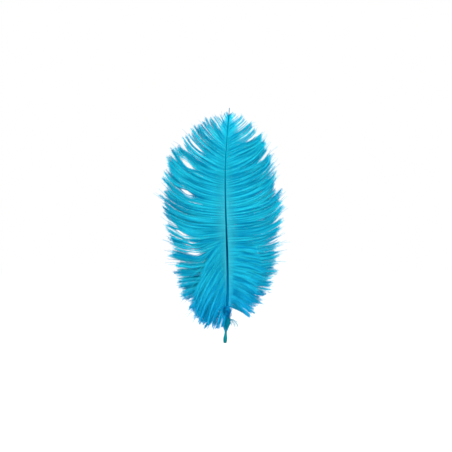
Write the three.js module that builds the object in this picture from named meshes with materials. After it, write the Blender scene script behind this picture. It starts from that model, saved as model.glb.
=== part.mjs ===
// A dyed ostrich plume held by its quill. The shaft runs up +Z from the cut end of the quill,
// which is the origin, and the front of the plume faces -Y. The vane is modelled as the locks
// that its soft barbs gather into: a row down each side of the shaft, and shorter tufts of down
// lying over the front of its lower half.
import * as THREE from "three";

// Overall sizes, in millimetres.
const PLUME_LENGTH = 300;
const LEFT_REACH = 79;
const RIGHT_REACH = 70;

// The space kept between neighbouring pieces.
const CLEARANCE = 0.35;

// The quill, from its cut end up to the joint with the shaft.
const QUILL_LENGTH = 30;
const QUILL_END_RADIUS = 1.5;
const QUILL_BULB_RADIUS = 2.1;
const QUILL_BULB_HEIGHT = 5;
const QUILL_NECK_RADIUS = 1.25;
const QUILL_NECK_HEIGHT = 13;
const QUILL_WALL = 0.4;
const QUILL_MOUTH_RADIUS = 0.6;
const PULP_CAP_COUNT = 3;
const PULP_CAP_DEPTH = 1.6;
const PULP_CAP_WALL = 0.3;

// The shaft above the quill: a horn cortex around a core of pith.
const SHAFT_BASE_RADIUS = 1.6;
const SHAFT_TIP_RADIUS = 0.25;
const SHAFT_TAPER = 1.1;
const SHAFT_WALL = 0.35;
const PITH_TIP_RADIUS = 0.3;
const SHAFT_BOW = 14;
const BARE_TIP = 12;

// Sideways sway of the shaft: [share of the plume's length, millimetres towards +X].
const SHAFT_SWAY = [
  [0, 0],
  [0.16, 3.2],
  [0.33, 3.2],
  [0.61, 0.6],
  [0.77, 0.6],
  [1, 5.7],
];

// Matted down around the foot of the vane, and the tuft that points down over the quill.
const MAT_START = QUILL_LENGTH + 4;
const MAT_HEIGHT = 12;
const MAT_RADIUS = 5.5;
const TUFT_HEIGHT = 15;
const TUFT_TOP_RADIUS = 9;
const TUFT_NECK_WALL = 0.45;

// Locks of the vane.
const VANE_START = MAT_START + MAT_HEIGHT + 2;
const VANE_END = PLUME_LENGTH - BARE_TIP;
const LOCKS_PER_SIDE = 16;
const LOCK_GAP = 1.6;
const LOCK_THICKNESS = 1.8;
const LOCK_TIP_WIDTH = 0.3;
const LOCK_LAYER_SHIFT = 2;
const LOCK_DROOP = 13;

// How the barbs of each side lie: [share up the vane, reach and rise of the tip as shares of the
// side's reach, angle from the shaft at the root and at the tip in degrees].
const LEFT_LIE = [
  [0, 0.36, -0.37, 112, 150],
  [0.12, 0.69, -0.2, 98, 112],
  [0.3, 0.9, 0.14, 89, 62],
  [0.45, 1, 0.29, 87, 46],
  [0.6, 0.92, 0.49, 82, 34],
  [0.75, 0.61, 0.49, 68, 32],
  [0.88, 0.24, 0.34, 42, 28],
  [1, 0.04, 0.1, 22, 20],
];
const RIGHT_LIE = [
  [0, 0.4, -0.21, 108, 128],
  [0.12, 0.74, -0.07, 96, 100],
  [0.3, 0.9, 0.14, 90, 62],
  [0.45, 1, 0.36, 87, 40],
  [0.6, 0.86, 0.49, 82, 28],
  [0.75, 0.7, 0.42, 68, 32],
  [0.88, 0.41, 0.33, 50, 32],
  [1, 0.08, 0.11, 26, 24],
];

// Tufts of down in front of the locks, laid out over their own stretch of the vane.
const LEFT_DOWN_COUNT = 6;
const RIGHT_DOWN_COUNT = 4;
const LEFT_DOWN_SPAN = [0.04, 0.38];
const RIGHT_DOWN_SPAN = [0.03, 0.3];
const DOWN_THICKNESS = 1.8;
const DOWN_STANDOFF = (LOCK_THICKNESS + DOWN_THICKNESS) / 2 + CLEARANCE;
const DOWN_LIFT = LOCK_LAYER_SHIFT + 6;
const LEFT_DOWN_LIE = [
  [0, 0.14, -0.45, 164, 168],
  [0.35, 0.38, -0.74, 156, 160],
  [0.7, 0.52, -0.88, 150, 158],
  [1, 0.6, -0.94, 146, 156],
];
const RIGHT_DOWN_LIE = [
  [0, 0.35, -0.26, 112, 140],
  [0.5, 0.54, -0.2, 102, 122],
  [1, 0.71, -0.09, 94, 108],
];

// Fineness of the solids.
const SHAFT_SIDES = 16;
const SHAFT_RINGS = 14;
const LOCK_SIDES = 6;
const LOCK_STEPS = 8;

const HORN = { color: 0x06586a, roughness: 0.35, metalness: 0 };
const PITH = { color: 0xd8e4dc, roughness: 0.9, metalness: 0 };
const CAP_HORN = { color: 0xb9cfc6, roughness: 0.6, metalness: 0 };
const VANE_DYE = { color: 0x1eafcd, roughness: 0.8, metalness: 0 };
const DOWN_DYE = { color: 0x0a96c6, roughness: 0.85, metalness: 0 };
const MAT_DYE = { color: 0x0467a2, roughness: 0.9, metalness: 0 };

const plume = new THREE.Group();

function addPiece(name, geometry, look) {
  geometry.computeVertexNormals();
  const piece = new THREE.Mesh(geometry, new THREE.MeshStandardMaterial(look));
  piece.name = name;
  plume.add(piece);
}

// A smooth curve through rows whose first number is the place along it.
function stationCurve(rows) {
  const places = rows.map((row) => row[0]);
  const values = rows.flatMap((row) => row.slice(1));
  const curve = new THREE.CubicInterpolant(places, values, rows[0].length - 1);
  return (place) => Array.from(curve.evaluate(place));
}

const swayAt = stationCurve(SHAFT_SWAY);

// Centre of the shaft at a height.
function shaftCentre(height) {
  const share = height / PLUME_LENGTH;
  const [sway] = swayAt(share);
  return new THREE.Vector3(sway, SHAFT_BOW * share * share, height);
}

// Radius of the shaft at a height above the quill.
function shaftRadius(height) {
  const share = (height - QUILL_LENGTH) / (PLUME_LENGTH - QUILL_LENGTH);
  const taper = Math.max(share, 0) ** SHAFT_TAPER;
  return THREE.MathUtils.lerp(SHAFT_BASE_RADIUS, SHAFT_TIP_RADIUS, taper);
}

// Height at which the tapering shaft has come down to a radius.
function heightOfRadius(radius) {
  const taper = (SHAFT_BASE_RADIUS - radius) / (SHAFT_BASE_RADIUS - SHAFT_TIP_RADIUS);
  return QUILL_LENGTH + (PLUME_LENGTH - QUILL_LENGTH) * taper ** (1 / SHAFT_TAPER);
}

const quillRadiusAt = stationCurve([
  [0, QUILL_END_RADIUS],
  [QUILL_BULB_HEIGHT, QUILL_BULB_RADIUS],
  [QUILL_NECK_HEIGHT, QUILL_NECK_RADIUS],
  [QUILL_LENGTH, SHAFT_BASE_RADIUS],
]);

// Turns a closed outline of [radius, height] points about the shaft's centre line.
function turnedAboutShaft(outline) {
  const points = outline.map(([radius, height]) => new THREE.Vector2(radius, height));
  const geometry = new THREE.LatheGeometry(points, SHAFT_SIDES);
  geometry.rotateX(Math.PI / 2);
  const place = geometry.attributes.position;
  for (let i = 0; i < place.count; i += 1) {
    const centre = shaftCentre(place.getZ(i));
    place.setXY(i, place.getX(i) + centre.x, place.getY(i) + centre.y);
  }
  return geometry;
}

// Outline points of a surface between two heights.
function outlineBetween(radiusAt, low, high, rings) {
  const points = [];
  for (let i = 0; i <= rings; i += 1) {
    const height = THREE.MathUtils.lerp(low, high, i / rings);
    points.push([radiusAt(height), height]);
  }
  return points;
}

// The hollow quill, open at its cut end.
function makeQuill() {
  const outer = (height) => quillRadiusAt(height)[0];
  const inner = (height) => outer(height) - QUILL_WALL;
  const rings = Math.round(SHAFT_RINGS / 2);
  const outline = outlineBetween(outer, 0, QUILL_LENGTH, SHAFT_RINGS);
  const hollowTop = QUILL_LENGTH - QUILL_WALL;
  outline.push([0, QUILL_LENGTH], [0, hollowTop]);
  outline.push(...outlineBetween(inner, QUILL_WALL * 2, hollowTop, rings).reverse());
  outline.push([QUILL_MOUTH_RADIUS, 0], outline[0]);
  addPiece("quill", turnedAboutShaft(outline), HORN);
}

// Dried pulp caps, small cups one above another in the hollow of the quill.
function makePulpCaps() {
  const spacing = (QUILL_LENGTH - PULP_CAP_DEPTH) / (PULP_CAP_COUNT + 1);
  for (let i = 1; i <= PULP_CAP_COUNT; i += 1) {
    const foot = spacing * i;
    const rim = foot + PULP_CAP_DEPTH;
    const narrowest = Math.min(quillRadiusAt(foot)[0], quillRadiusAt(rim)[0]);
    const radius = narrowest - QUILL_WALL - CLEARANCE;
    const outline = [
      [0, foot],
      [radius * 0.8, foot],
      [radius, rim],
      [radius - PULP_CAP_WALL * 0.6, rim],
      [radius * 0.5, foot + PULP_CAP_WALL],
      [0, foot + PULP_CAP_WALL],
    ];
    addPiece(`pulp_cap_${i}`, turnedAboutShaft(outline), CAP_HORN);
  }
}

const SHAFT_FOOT = QUILL_LENGTH + CLEARANCE;
const PITH_TOP = heightOfRadius(SHAFT_WALL + CLEARANCE + PITH_TIP_RADIUS);

// The shaft's horn cortex: a tube around the pith, solid above it.
function makeShaftCortex() {
  const inner = (height) => shaftRadius(height) - SHAFT_WALL;
  const outline = outlineBetween(shaftRadius, SHAFT_FOOT, PLUME_LENGTH, SHAFT_RINGS * 2);
  const hollowTop = PITH_TOP + CLEARANCE;
  outline.push([0, PLUME_LENGTH], [0, hollowTop]);
  outline.push(...outlineBetween(inner, SHAFT_FOOT, hollowTop, SHAFT_RINGS).reverse());
  outline.push(outline[0]);
  addPiece("shaft_cortex", turnedAboutShaft(outline), HORN);
}

function makeShaftPith() {
  const core = (height) => shaftRadius(height) - SHAFT_WALL - CLEARANCE;
  const outline = outlineBetween(core, SHAFT_FOOT + CLEARANCE, PITH_TOP, SHAFT_RINGS);
  outline.unshift([0, SHAFT_FOOT + CLEARANCE]);
  outline.push([0, PITH_TOP]);
  addPiece("shaft_pith", turnedAboutShaft(outline), PITH);
}

// Radius that a ring of down keeps around the quill and the foot of the shaft.
const RING_BORE = SHAFT_BASE_RADIUS + CLEARANCE + 0.1;

function makeBaseMat() {
  const outline = [
    [RING_BORE, MAT_START],
    [MAT_RADIUS * 0.75, MAT_START + MAT_HEIGHT * 0.12],
    [MAT_RADIUS, MAT_START + MAT_HEIGHT * 0.45],
    [MAT_RADIUS * 0.7, MAT_START + MAT_HEIGHT * 0.85],
    [RING_BORE, MAT_START + MAT_HEIGHT],
    [RING_BORE, MAT_START],
  ];
  addPiece("base_mat", turnedAboutShaft(outline), MAT_DYE);
}

function makeQuillTuft() {
  const top = MAT_START - CLEARANCE;
  const outline = [
    [RING_BORE, top - TUFT_HEIGHT],
    [RING_BORE + TUFT_NECK_WALL, top - TUFT_HEIGHT],
    [TUFT_TOP_RADIUS * 0.55, top - TUFT_HEIGHT * 0.45],
    [TUFT_TOP_RADIUS, top - TUFT_HEIGHT * 0.1],
    [TUFT_TOP_RADIUS * 0.6, top],
    [RING_BORE, top],
    [RING_BORE, top - TUFT_HEIGHT],
  ];
  addPiece("quill_tuft", turnedAboutShaft(outline), DOWN_DYE);
}

// The way one side's barbs grow: barbAt(share up the vane) is the curve of that barb.
function barbFamily(side, reach, lie) {
  const lieAt = stationCurve(lie);
  return (vaneShare, lieShare) => {
    const height = THREE.MathUtils.lerp(VANE_START, VANE_END, vaneShare);
    const [across, up, rootAngle, tipAngle] = lieAt(lieShare);
    const root = shaftCentre(height);
    root.x += side * (shaftRadius(height) + CLEARANCE);
    const tip = root.clone();
    tip.x += side * across * reach;
    tip.z += up * reach;
    const handle = root.distanceTo(tip) * 0.36;
    return new THREE.CubicBezierCurve3(
      root,
      root.clone().add(leaning(side, rootAngle, handle)),
      tip.clone().sub(leaning(side, tipAngle, handle)),
      tip,
    );
  };
}

// A step of some length at an angle away from the shaft's upward direction.
function leaning(side, degrees, length) {
  const angle = THREE.MathUtils.degToRad(degrees);
  return new THREE.Vector3(side * Math.sin(angle) * length, 0, Math.cos(angle) * length);
}

// A closed lock that fills the space between two barbs and narrows to a blunt tip.
// depthAt(share out from the root) is how far back its middle lies.
function lockBetween(side, lowBarb, highBarb, thickness, depthAt) {
  const geometry = new THREE.CylinderGeometry(1, 1, 1, LOCK_SIDES, LOCK_STEPS);
  const place = geometry.attributes.position;
  for (let i = 0; i < place.count; i += 1) {
    const out = place.getY(i) + 0.5;
    const width = THREE.MathUtils.lerp(1, LOCK_TIP_WIDTH, out ** 3);
    const share = 0.5 + 0.5 * width * place.getX(i);
    const point = lowBarb.getPoint(out).lerp(highBarb.getPoint(out), share);
    const depth = depthAt(out) + side * place.getZ(i) * 0.5 * thickness;
    place.setXYZ(i, point.x, point.y + depth, point.z);
  }
  return geometry;
}

// Locks down one side of the shaft, lying alternately a little forward and a little back.
function makeLocks(sideName, side, reach, lie) {
  const barbAt = barbFamily(side, reach, lie);
  const vaneHeight = VANE_END - VANE_START;
  const pitch = 1 / LOCKS_PER_SIDE;
  const gap = LOCK_GAP / vaneHeight;
  for (let i = 0; i < LOCKS_PER_SIDE; i += 1) {
    const low = i * pitch + gap / 2;
    const high = (i + 1) * pitch - gap / 2;
    const lowBarb = barbAt(low, low);
    const highBarb = barbAt(high, high);
    const layer = i % 2 === 0 ? LOCK_LAYER_SHIFT : -LOCK_LAYER_SHIFT;
    const droop = LOCK_DROOP * lowBarb.getLength() / reach;
    const depthAt = (out) => layer * Math.sin(Math.PI * out) + droop * out ** 2;
    const name = `${sideName}_lock_${String(i + 1).padStart(2, "0")}`;
    const geometry = lockBetween(side, lowBarb, highBarb, LOCK_THICKNESS, depthAt);
    addPiece(name, geometry, VANE_DYE);
  }
}

// Tufts of down that start in front of the locks and sweep down over them.
function makeDown(sideName, side, reach, lie, count, span) {
  const barbAt = barbFamily(side, reach, lie);
  const gap = LOCK_GAP / (VANE_END - VANE_START) / (span[1] - span[0]);
  const depthAt = (out) => -DOWN_STANDOFF - DOWN_LIFT * THREE.MathUtils.smoothstep(out, 0, 0.7);
  const barbOf = (share) => barbAt(THREE.MathUtils.lerp(span[0], span[1], share), share);
  for (let i = 0; i < count; i += 1) {
    const lowBarb = barbOf(i / count + gap / 2);
    const highBarb = barbOf((i + 1) / count - gap / 2);
    const geometry = lockBetween(side, lowBarb, highBarb, DOWN_THICKNESS, depthAt);
    addPiece(`${sideName}_down_${i + 1}`, geometry, DOWN_DYE);
  }
}

makeQuill();
makePulpCaps();
makeShaftCortex();
makeShaftPith();
makeBaseMat();
makeQuillTuft();
makeLocks("left", -1, LEFT_REACH, LEFT_LIE);
makeLocks("right", 1, RIGHT_REACH, RIGHT_LIE);
makeDown("left", -1, LEFT_REACH, LEFT_DOWN_LIE, LEFT_DOWN_COUNT, LEFT_DOWN_SPAN);
makeDown("right", 1, RIGHT_REACH, RIGHT_DOWN_LIE, RIGHT_DOWN_COUNT, RIGHT_DOWN_SPAN);

export default plume;
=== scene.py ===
"""A turquoise-dyed ostrich plume, upright on its quill with its front towards -Y.

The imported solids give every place: the line and thickness of the quill and shaft, and the lie of
each lock of barbs. Barbs are grown along the locks, each a tapering stem with two rows of soft
barbules, and every lock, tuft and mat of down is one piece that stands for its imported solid.
"""

import logging
import math
from dataclasses import dataclass, field
from enum import Enum
from typing import Any

import bpy
import numpy as np
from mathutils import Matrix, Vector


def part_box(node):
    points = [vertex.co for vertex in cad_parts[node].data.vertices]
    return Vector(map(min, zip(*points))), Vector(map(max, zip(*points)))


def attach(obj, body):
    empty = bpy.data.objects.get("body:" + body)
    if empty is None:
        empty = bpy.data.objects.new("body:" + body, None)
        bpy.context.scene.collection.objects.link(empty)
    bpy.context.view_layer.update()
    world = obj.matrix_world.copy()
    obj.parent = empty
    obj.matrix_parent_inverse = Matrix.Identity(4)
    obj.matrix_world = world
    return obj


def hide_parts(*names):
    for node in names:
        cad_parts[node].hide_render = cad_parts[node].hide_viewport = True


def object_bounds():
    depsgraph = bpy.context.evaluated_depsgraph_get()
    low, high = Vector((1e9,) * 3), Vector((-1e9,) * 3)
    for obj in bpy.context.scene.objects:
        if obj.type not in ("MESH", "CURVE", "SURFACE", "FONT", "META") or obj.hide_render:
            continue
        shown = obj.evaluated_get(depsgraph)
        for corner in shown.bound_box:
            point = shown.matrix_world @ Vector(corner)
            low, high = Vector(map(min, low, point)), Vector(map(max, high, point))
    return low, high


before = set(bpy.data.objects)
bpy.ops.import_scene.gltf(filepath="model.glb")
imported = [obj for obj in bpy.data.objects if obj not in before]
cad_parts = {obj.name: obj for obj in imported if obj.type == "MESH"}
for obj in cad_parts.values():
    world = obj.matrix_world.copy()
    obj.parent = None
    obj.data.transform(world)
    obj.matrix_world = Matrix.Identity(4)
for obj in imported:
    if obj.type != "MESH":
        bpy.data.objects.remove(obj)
CAD_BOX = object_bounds()

Colour = tuple[float, float, float]
LOG = logging.getLogger("plume")
MM = 0.001
WELD = 0.01 * MM
BODY = "root"
MAP_NAME = "OFBake"
WHITE = (1.0, 1.0, 1.0)
FRONT = np.array([0.0, -1.0, 0.0])


class Side(Enum):
    """The two sides of the vane, by the sign of their X."""

    LEFT = -1
    RIGHT = 1

    @property
    def word(self) -> str:
        """The side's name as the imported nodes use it."""
        return self.name.lower()


# ---- Shader maths ----


class Wire:
    """One output of a shader node, which can be used in expressions."""

    def __init__(self, shop: "NodeShop", socket: Any, colour: bool = False) -> None:
        """Wraps a socket.

        Args:
            shop: the maker of the nodes that expressions add.
            socket: the node's output socket.
            colour: whether the socket carries a colour or vector rather than a value.
        """
        self.shop = shop
        self.socket = socket
        self.colour = colour

    def _value(self, operation: str, first: Any, second: Any) -> "Wire":
        """Adds a Math node, or a Vector Math node for colours.

        Args:
            operation: what the node does.
            first: its first input.
            second: its second input.

        Returns:
            Its output.
        """
        if self.colour:
            return self.shop.vector(operation, first, second)
        return self.shop.math(operation, first, second)

    def __add__(self, other: Any) -> "Wire":
        """Sum."""
        return self._value("ADD", self, other)

    def __radd__(self, other: Any) -> "Wire":
        """Sum, with the wire on the right."""
        return self._value("ADD", other, self)

    def __sub__(self, other: Any) -> "Wire":
        """Difference."""
        return self._value("SUBTRACT", self, other)

    def __rsub__(self, other: Any) -> "Wire":
        """Difference, with the wire on the right."""
        return self._value("SUBTRACT", other, self)

    def __mul__(self, other: Any) -> "Wire":
        """Product."""
        return self._value("MULTIPLY", self, other)

    def __rmul__(self, other: Any) -> "Wire":
        """Product, with the wire on the right."""
        return self._value("MULTIPLY", other, self)

    def __truediv__(self, other: Any) -> "Wire":
        """Quotient."""
        return self._value("DIVIDE", self, other)

    def __rtruediv__(self, other: Any) -> "Wire":
        """Quotient, with the wire on the right."""
        return self._value("DIVIDE", other, self)


class NodeShop:
    """Makes the nodes of one material."""

    def __init__(self, material: bpy.types.Material) -> None:
        """Clears the material's nodes.

        Args:
            material: the material whose tree this shop fills.
        """
        material.use_nodes = True
        self.tree = material.node_tree
        self.tree.nodes.clear()

    def feed(self, socket: bpy.types.NodeSocket, value: Any) -> None:
        """Links or sets one input.

        Args:
            socket: the input to fill.
            value: a Wire, a number, or a colour or vector as a tuple.
        """
        if isinstance(value, Wire):
            self.tree.links.new(value.socket, socket)
        elif isinstance(socket.default_value, (int, float)) or not isinstance(value, tuple):
            socket.default_value = value
        else:
            size = len(socket.default_value)
            socket.default_value = (*value, 1.0)[:size]

    def node(self, kind: str, settings: dict[str, Any] | None = None,
             sockets: dict[Any, Any] | None = None) -> bpy.types.Node:
        """Adds a node of any type.

        Args:
            kind: the node's type, without its ShaderNode prefix.
            settings: attributes set before the sockets are filled; "stops" fills a ramp.
            sockets: input names or indices with their values or wires.

        Returns:
            The new node.
        """
        made = self.tree.nodes.new("ShaderNode" + kind)
        for name, value in (settings or {}).items():
            if name == "stops":
                self._set_stops(made.color_ramp, value)
            else:
                setattr(made, name, value)
        for name, value in (sockets or {}).items():
            self.feed(made.inputs[name], value)
        return made

    @staticmethod
    def _set_stops(ramp: bpy.types.ColorRamp, stops: list[tuple[float, tuple]]) -> None:
        """Fills a ramp.

        Args:
            ramp: the ramp, with its two first stops.
            stops: (place, colour) pairs.
        """
        while len(ramp.elements) < len(stops):
            ramp.elements.new(1.0)
        for element, (place, colour) in zip(ramp.elements, stops):
            element.position = place
            element.color = (*colour, 1.0)

    def math(self, operation: str, first: Any, second: Any = 0.0) -> Wire:
        """A Math node's output."""
        made = self.node("Math", {"operation": operation}, {0: first, 1: second})
        return Wire(self, made.outputs[0])

    def vector(self, operation: str, first: Any, second: Any) -> Wire:
        """A Vector Math node's output."""
        made = self.node("VectorMath", {"operation": operation}, {0: first, 1: second})
        return Wire(self, made.outputs[0], colour=True)

    def mix(self, share: Any, first: Any, second: Any) -> Wire:
        """Mixes two colours.

        Args:
            share: 0 for the first colour, 1 for the second.
            first: a colour or a wire.
            second: a colour or a wire.

        Returns:
            The mixed colour.
        """
        made = self.node("Mix", {"data_type": "RGBA"}, {0: share, 6: first, 7: second})
        return Wire(self, made.outputs[2], colour=True)

    def ramp(self, value: Any, stops: list[tuple[float, tuple]]) -> Wire:
        """A colour ramp's output."""
        made = self.node("ValToRGB", {"stops": stops}, {0: value})
        return Wire(self, made.outputs[0], colour=True)

    def span(self, value: Any, low: float, high: float, first: float, last: float) -> Wire:
        """A smooth change from one number to another.

        Args:
            value: what drives it.
            low: the value where it starts.
            high: the value where it ends.
            first: the number at the start.
            last: the number at the end.

        Returns:
            The changing number.
        """
        sockets = {"Value": value, "From Min": low, "From Max": high, "To Min": first,
                   "To Max": last}
        made = self.node("MapRange", {"interpolation_type": "SMOOTHSTEP"}, sockets)
        return Wire(self, made.outputs[0])

    def noise(self, place: Any, scale: float, detail: float = 2.0) -> Wire:
        """A noise texture's value, about 0.5 in the middle."""
        sockets = {"Vector": place, "Scale": scale, "Detail": detail}
        return Wire(self, self.node("TexNoise", None, sockets).outputs[0])

    def along_map(self) -> tuple[Wire, Wire]:
        """The piece's own map.

        Returns:
            How far along its barb a point is, and how far across the lock.
        """
        place = self.node("UVMap", {"uv_map": MAP_NAME})
        parts = self.node("SeparateXYZ", None, {0: Wire(self, place.outputs[0])})
        return Wire(self, parts.outputs[0]), Wire(self, parts.outputs[1])

    def in_space(self) -> tuple[Wire, Wire]:
        """A point's place.

        Returns:
            The place in metres, and its height.
        """
        place = Wire(self, self.node("TexCoord").outputs["Object"], colour=True)
        parts = self.node("SeparateXYZ", None, {0: place})
        return place, Wire(self, parts.outputs[2])

    def finish(self, sockets: dict[str, Any], bump: Any = None, depth: float = 0.0) -> None:
        """Adds the Principled shader and the output.

        Args:
            sockets: the shader's inputs by name.
            bump: a height wire, if the surface has relief.
            depth: the relief's height in metres.
        """
        shader = self.node("BsdfPrincipled", None, sockets)
        if bump is not None:
            relief = self.node("Bump", None, {"Height": bump, "Distance": depth, "Strength": 1.0})
            self.tree.links.new(relief.outputs[0], shader.inputs["Normal"])
        output = self.node("OutputMaterial")
        self.tree.links.new(shader.outputs[0], output.inputs[0])


def linear(red: int, green: int, blue: int) -> Colour:
    """Turns screen values into the linear values that shaders use.

    Args:
        red: 0 to 255.
        green: 0 to 255.
        blue: 0 to 255.

    Returns:
        The three values, 0 to 1.
    """
    def one(value: float) -> float:
        """One channel."""
        return value / 12.92 if value <= 0.04045 else ((value + 0.055) / 1.055) ** 2.4

    return one(red / 255), one(green / 255), one(blue / 255)


# ---- Finishes ----


@dataclass(frozen=True)
class Finish:
    """A named material, which also carries the name of one of the record's slots."""

    name: str
    slot: str

    def make(self) -> bpy.types.Material:
        """Builds the material.

        Returns:
            The finished material.
        """
        material = bpy.data.materials.new(self.name)
        self.dress(NodeShop(material))
        return material

    def dress(self, shop: NodeShop) -> None:
        """Adds the material's nodes. Each kind of finish has its own."""
        raise NotImplementedError


@dataclass(frozen=True)
class DyedDown(Finish):
    """Soft dyed barbs, streaked along their length.

    shade and light are the colours of the streaks, and strands scales them along a barb, across
    the barbs and by height. The streaks are partly the dye's own uneven tone and partly painted
    shade as in the gaps between barbs and painted light as on the barbs. contrast is the pair of
    noise values between which shade turns into light. root and high_root are the colours beside
    the shaft, below and above root_heights, and are gone by root_end of the way along a barb.
    tip_tint colours the barbs from tip_start on. deep is the colour of the plume's foot, which
    starts at the first of deep_heights and is full at the second. Heights are in metres, and the
    shares say how strong each colour is.
    """

    shade: Colour = (0.0, 0.29, 0.51)
    light: Colour = (0.02, 0.65, 0.80)
    root: Colour = (0.035, 0.39, 0.49)
    high_root: Colour = (0.004, 0.31, 0.43)
    tip_tint: Colour = (0.4, 0.95, 0.98)
    deep: Colour = (0.0, 0.34, 0.72)
    root_end: float = 0.22
    root_share: float = 0.8
    root_heights: tuple[float, float] = (0.15, 0.24)
    tip_start: float = 0.7
    deep_heights: tuple[float, float] = (0.1, 0.02)
    deep_share: float = 0.6
    deep_patches: float = 0.5
    strands: tuple[float, float, float] = (1.2, 10.0, 25.0)
    contrast: tuple[float, float] = (0.32, 0.68)
    patch_scale: float = 30.0
    patch_share: float = 0.3
    roughness: float = 0.9
    sheen: float = 0.12
    sheen_roughness: float = 0.5
    sheen_tint: Colour = (0.1, 0.8, 1.0)

    def dress(self, shop: NodeShop) -> None:
        """Adds the streaks, the colours by place, and a faint sheen.

        Args:
            shop: the maker of the material's nodes.
        """
        along, barb = shop.along_map()
        place, height = shop.in_space()
        lengthwise, crosswise, upward = self.strands
        # Streaks: partly the dye's uneven tone, partly painted shade between the barbs and painted
        # light along them.
        strand = shop.node("CombineXYZ", None,
                           {0: along * lengthwise, 1: barb * crosswise, 2: height * upward})
        streaks = shop.noise(Wire(shop, strand.outputs[0]), 1.0, 1.0)
        patches = shop.noise(place, self.patch_scale, 1.0)
        mottled = streaks + (patches - 0.5) * self.patch_share
        colour = shop.mix(shop.span(mottled, *self.contrast, 0.0, 1.0), self.shade, self.light)
        pale = shop.span(along, 0.0, self.root_end, self.root_share, 0.0)
        root = shop.mix(shop.span(height, *self.root_heights, 0.0, 1.0), self.root,
                        self.high_root)
        colour = shop.mix(pale, colour, root)
        low = shop.span(height, *self.deep_heights, 0.0, self.deep_share)
        deep = shop.math("MAXIMUM", low + (patches - 0.5) * self.deep_patches, 0.0)
        colour = shop.mix(deep, colour, self.deep)
        tint = shop.ramp(along, [(0.0, WHITE), (self.tip_start, WHITE), (1.0, self.tip_tint)])
        colour = shop.vector("MULTIPLY", colour, tint)
        shop.finish({"Base Color": colour, "Roughness": self.roughness,
                     "Sheen Weight": self.sheen, "Sheen Roughness": self.sheen_roughness,
                     "Sheen Tint": self.sheen_tint, "Specular IOR Level": 0.0})


@dataclass(frozen=True)
class DyedHorn(Finish):
    """Dyed horn of the quill and shaft, drawn out in fine lines along its length.

    stops are its colours by height, as shares of the plume's whole length. lines and blots are the
    noise scales of its fine lines and of the blots over them, and relief is the lines' depth.
    """

    stops: list[tuple[float, Colour]]
    roughness: float = 0.45
    lines: float = 4200.0
    drawn_out: tuple[float, float, float] = (1.0, 1.0, 0.05)
    blots: float = 320.0
    relief: float = 0.04 * MM

    def dress(self, shop: NodeShop) -> None:
        """Adds the colours by height, the lines and the blots.

        Args:
            shop: the maker of the material's nodes.
        """
        place, height = shop.in_space()
        lines = shop.noise(shop.vector("MULTIPLY", place, self.drawn_out), self.lines, 3.0)
        blots = shop.noise(place, self.blots, 2.0)
        colour = shop.ramp(height / CAD_BOX[1][2], self.stops)
        colour = shop.vector("MULTIPLY", colour, 0.78 + lines * 0.25 + blots * 0.2)
        rough = self.roughness + (blots - 0.5) * 0.2
        shop.finish({"Base Color": colour, "Roughness": rough, "Specular IOR Level": 0.0},
                    lines, self.relief)


@dataclass(frozen=True)
class DryTissue(Finish):
    """Dry pith or membrane. pores is the noise scale of its small pores."""

    colour: Colour
    pores: float
    shadow: float = 0.6
    relief: float = 0.1 * MM

    def dress(self, shop: NodeShop) -> None:
        """Adds the pores, darker and deeper than the tissue.

        Args:
            shop: the maker of the material's nodes.
        """
        place, _ = shop.in_space()
        grain = shop.noise(place, self.pores, 3.0)
        dark = tuple(self.shadow * part for part in self.colour)
        colour = shop.mix(grain, dark, self.colour)
        shop.finish({"Base Color": colour, "Roughness": 0.9}, grain, self.relief)


# The shade and light of each dye colour its streaks, partly its uneven tone and partly painted shade
# and painted light.
VANE_DYE = DyedDown("vane_dye", "vane_dye")
DOWN_DYE = DyedDown("down_dye", "down_dye", shade=(0.0, 0.31, 0.55), light=(0.02, 0.65, 0.82),
                    tip_tint=(0.6, 0.9, 0.95))
MAT_DYE = DyedDown("mat_dye", "mat_dye", shade=(0.0, 0.10, 0.27), light=(0.0, 0.34, 0.60),
                   root=(0.0, 0.2, 0.44), tip_tint=WHITE, deep=(0.0, 0.18, 0.50),
                   patch_scale=260.0, patch_share=1.6, deep_share=0.3)
TUFT_DYE = DyedDown("tuft_dye", "down_dye", shade=(0.0, 0.26, 0.40), light=(0.0, 0.38, 0.50),
                    tip_tint=WHITE, deep=(0.0, 0.26, 0.40))
QUILL_HORN = DyedHorn("quill_horn", "quill_horn",
                      [(0.0, linear(10, 88, 92)), (0.03, linear(8, 108, 118)),
                       (0.1, linear(4, 112, 140))])
SHAFT_HORN = DyedHorn("shaft_horn", "shaft_horn",
                      [(0.12, linear(0, 98, 140)), (0.2, linear(0, 84, 122)),
                       (0.4, linear(0, 32, 62)), (0.8, linear(0, 96, 124))],
                      roughness=0.6)
PITH = DryTissue("pith", "pith", linear(214, 226, 218), 2600.0)
CAP_HORN = DryTissue("cap_horn", "cap_horn", linear(188, 208, 200), 900.0)


# ---- Meshes ----


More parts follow.
